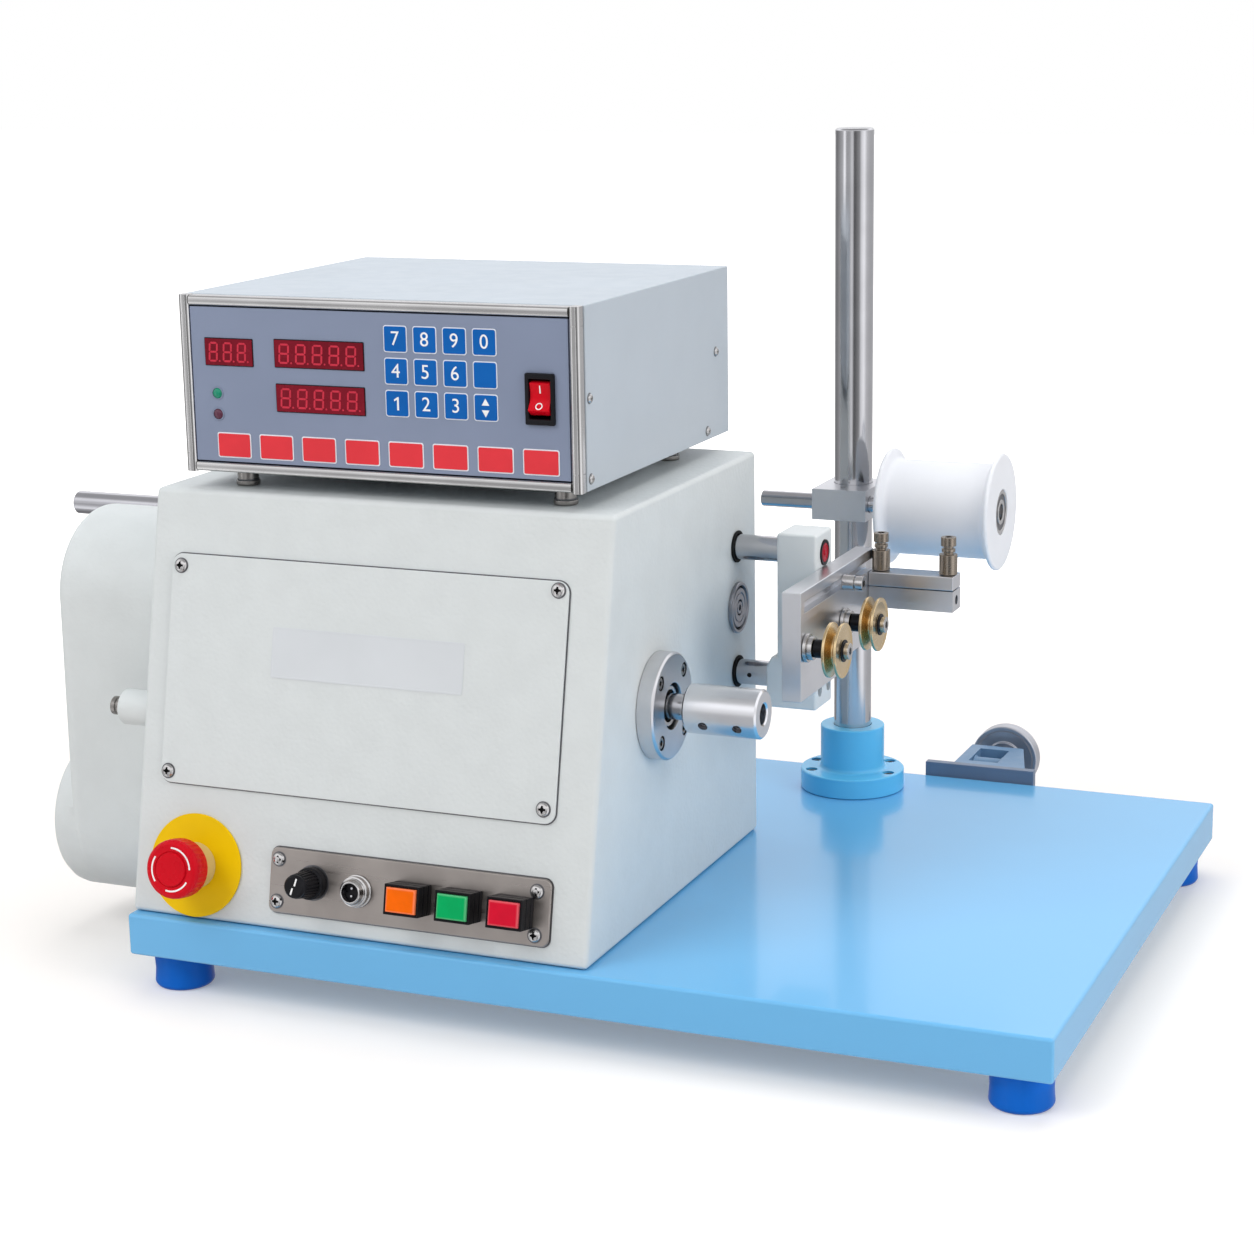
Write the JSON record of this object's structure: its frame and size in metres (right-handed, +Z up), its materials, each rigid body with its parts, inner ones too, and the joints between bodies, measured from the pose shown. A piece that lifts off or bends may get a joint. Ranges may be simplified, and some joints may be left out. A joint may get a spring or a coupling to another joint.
{
  "type": "coil winding machine",
  "caption": "Bench machine that winds wire coils: leaning housing with spindle, traversing wire guide, supply roller on a post and a controller box with keypad.",
  "frame": {"origin": "on the floor under the middle of the machine's box", "axes": "+X right along the spindle, +Y to the back, +Z up"},
  "size_m": [0.733, 0.5257, 0.4803],
  "materials": {
    "black_plastic": "fine moulded",
    "black_rubber": "matt",
    "blue_rubber": "satin moulded rubber",
    "brass": "satin turned",
    "brushed_stainless": "brushed along its length",
    "cream_plastic": "satin moulded",
    "dark_steel": "dark oiled steel",
    "green_lens": "translucent moulded",
    "grey_hammer_paint": "fine hammer-tone enamel",
    "nickel_bronze": "nickel plated",
    "orange_lens": "translucent moulded",
    "pale_blue_grey_paint": "fine textured powder coat",
    "polished_steel": "ground and polished",
    "red_plastic": "moulded",
    "satin_aluminium": "satin milled",
    "sky_blue_paint": "semi-gloss stoved enamel",
    "slate_blue_paint": "semi-gloss enamel",
    "slate_panel_film": "matt printed film",
    "white_nylon": "satin turned nylon",
    "yellow_legend": "satin"
  },
  "bodies": {
    "machine": {"base_plate": "sky_blue_paint", "foot_front_left": "blue_rubber", "foot_front_right": "blue_rubber", "foot_rear_left": "blue_rubber", "foot_rear_right": "blue_rubber", "housing": "grey_hammer_paint", "front_cover": "grey_hammer_paint", "control_plate": "brushed_stainless", "estop_legend": "yellow_legend", "estop_body": "cream_plastic", "pedal_socket": "polished_steel", "button_frame_orange": "black_plastic", "button_frame_green": "black_plastic", "button_frame_red": "black_plastic", "belt_cover": "grey_hammer_paint", "spindle_flange": "satin_aluminium", "spindle_bearing": "polished_steel", "drive_motor": "dark_steel", "drive_belt": "black_rubber", "rod_bush_upper": "black_rubber", "rod_bush_lower": "black_rubber", "traverse_motor": "dark_steel", "screw_bearing": "dark_steel", "post_flange": "sky_blue_paint", "rear_plate": "satin_aluminium", "rear_bracket": "slate_blue_paint", "controller_tray": "pale_blue_grey_paint", "controller_cover": "pale_blue_grey_paint", "controller_bezel": "brushed_stainless", "front_panel": "slate_panel_film"},
    "spindle": {"spindle_shaft": "polished_steel", "spindle_coupling": "satin_aluminium", "spindle_pulley": "satin_aluminium"},
    "motor_rotor": {"motor_pulley": "satin_aluminium"},
    "carriage": {"guide_rod_upper": "polished_steel", "guide_rod_lower": "polished_steel", "nut_bracket": "satin_aluminium", "guide_block": "grey_hammer_paint", "guide_plate": "satin_aluminium"},
    "lead_screw": {"lead_screw": "polished_steel"},
    "clamp_arm": {"clamp_bar_lower": "satin_aluminium"},
    "clamp_jaw": {"clamp_bar_upper": "satin_aluminium"},
    "thumb_left": {"thumb_screw_left": "nickel_bronze"},
    "thumb_right": {"thumb_screw_right": "nickel_bronze"},
    "axle_front": {"pulley_axle_front": "dark_steel"},
    "axle_rear": {"pulley_axle_rear": "dark_steel"},
    "pulley_front": {"wire_pulley_front": "brass"},
    "pulley_rear": {"wire_pulley_rear": "brass"},
    "post": {"post": "polished_steel"},
    "post_clamp": {"clamp_block": "satin_aluminium"},
    "roller_axle": {"roller_axle": "polished_steel"},
    "roller": {"supply_roller": "white_nylon"},
    "estop_plunger": {"estop_plunger": "black_plastic"},
    "estop_head": {"estop_head": "red_plastic"},
    "speed_knob": {"speed_knob": "black_plastic"},
    "lens_orange": {"button_lens_orange": "orange_lens"},
    "lens_green": {"button_lens_green": "green_lens"},
    "lens_red": {"button_lens_red": "red_plastic"},
    "power_rocker": {"power_rocker": "red_plastic"},
    "handwheel": {"rear_handwheel": "satin_aluminium"}
  },
  "joints": [
    {"name": "spindle_spin", "type": "hinge", "parent": "machine", "child": "spindle", "pos_m": [-0.1835, -0.13378, 0.1713], "axis": [1, 0, 0], "continuous": true},
    {"name": "motor_spin", "type": "hinge", "parent": "machine", "child": "motor_rotor", "pos_m": [-0.1835, -0.12978, 0.0793], "axis": [1, 0, 0], "continuous": true},
    {"name": "traverse_slide", "type": "slide", "parent": "machine", "child": "carriage", "axis": [1, 0, 0], "range_m": [-0.014, 0.1]},
    {"name": "lead_screw_turn", "type": "hinge", "parent": "machine", "child": "lead_screw", "pos_m": [-0.1835, -0.00178, 0.1993], "axis": [1, 0, 0], "range_deg": [-3620, 520]},
    {"name": "clamp_arm_adjust", "type": "slide", "parent": "carriage", "child": "clamp_arm", "axis": [0, 1, 0], "range_m": [-0.018, 0]},
    {"name": "clamp_jaw_lift", "type": "slide", "parent": "clamp_arm", "child": "clamp_jaw", "axis": [0, 0, 1], "range_m": [0, 0.003]},
    {"name": "thumb_turn_left", "type": "hinge", "parent": "clamp_jaw", "child": "thumb_left", "pos_m": [0.1802, 0.05572, 0.0473], "axis": [0, 0, 1], "continuous": true},
    {"name": "thumb_turn_right", "type": "hinge", "parent": "clamp_jaw", "child": "thumb_right", "pos_m": [0.2231, 0.05572, 0.0473], "axis": [0, 0, 1], "continuous": true},
    {"name": "axle_height_front", "type": "slide", "parent": "carriage", "child": "axle_front", "axis": [0, 0, 1], "range_m": [-0.004, 0.004]},
    {"name": "pulley_spin_front", "type": "hinge", "parent": "axle_front", "child": "pulley_front", "pos_m": [-0.1835, -0.07028, 0.1953], "axis": [1, 0, 0], "continuous": true},
    {"name": "axle_height_rear", "type": "slide", "parent": "carriage", "child": "axle_rear", "axis": [0, 0, 1], "range_m": [-0.004, 0.004]},
    {"name": "pulley_spin_rear", "type": "hinge", "parent": "axle_rear", "child": "pulley_rear", "pos_m": [-0.1835, -0.00078, 0.1953], "axis": [1, 0, 0], "continuous": true},
    {"name": "post_swivel", "type": "hinge", "parent": "machine", "child": "post", "pos_m": [0.1335, 0.14422, 0.0473], "axis": [0, 0, 1], "range_deg": [0, 90]},
    {"name": "clamp_height", "type": "slide", "parent": "post", "child": "post_clamp", "axis": [0, 0, 1], "range_m": [-0.115, 0.22]},
    {"name": "axle_reach", "type": "slide", "parent": "post_clamp", "child": "roller_axle", "axis": [1, 0, 0], "range_m": [-0.01, 0.03]},
    {"name": "roller_spin", "type": "hinge", "parent": "roller_axle", "child": "roller", "pos_m": [-0.1835, 0.12322, 0.2433], "axis": [1, 0, 0], "continuous": true},
    {"name": "estop_push", "type": "slide", "parent": "machine", "child": "estop_plunger", "axis": [0, 0.9787, -0.2054], "range_m": [0, 0.005]},
    {"name": "estop_twist", "type": "hinge", "parent": "estop_plunger", "child": "estop_head", "pos_m": [-0.142, -0.23231, 0.07813], "axis": [0, 0.9787, -0.2054], "range_deg": [0, 45], "stiffness_Nm_per_rad": 0.05},
    {"name": "knob_turn", "type": "hinge", "parent": "machine", "child": "speed_knob", "pos_m": [-0.064, -0.23457, 0.07707], "axis": [0, 0.9787, -0.2054], "range_deg": [-150, 150]},
    {"name": "button_orange", "type": "slide", "parent": "machine", "child": "lens_orange", "axis": [0, 0.9787, -0.2054], "range_m": [0, 0.003], "stiffness_N_per_m": 250},
    {"name": "button_green", "type": "slide", "parent": "machine", "child": "lens_green", "axis": [0, 0.9787, -0.2054], "range_m": [0, 0.003], "stiffness_N_per_m": 250},
    {"name": "button_red", "type": "slide", "parent": "machine", "child": "lens_red", "axis": [0, 0.9787, -0.2054], "range_m": [0, 0.003], "stiffness_N_per_m": 250},
    {"name": "rocker_swing", "type": "hinge", "parent": "machine", "child": "power_rocker", "pos_m": [0.0615, -0.17897, 0.3515], "axis": [1, 0, 0], "range_deg": [0, 16]},
    {"name": "handwheel_spin", "type": "hinge", "parent": "machine", "child": "handwheel", "pos_m": [0.209, 0.23882, 0.0433], "axis": [0, 1, 0], "continuous": true}
  ],
  "couplings": [
    {"joint": "motor_spin", "follows": "spindle_spin", "ratio": 1.579},
    {"joint": "lead_screw_turn", "follows": "traverse_slide", "rad_per_m": -628.32}
  ]
}
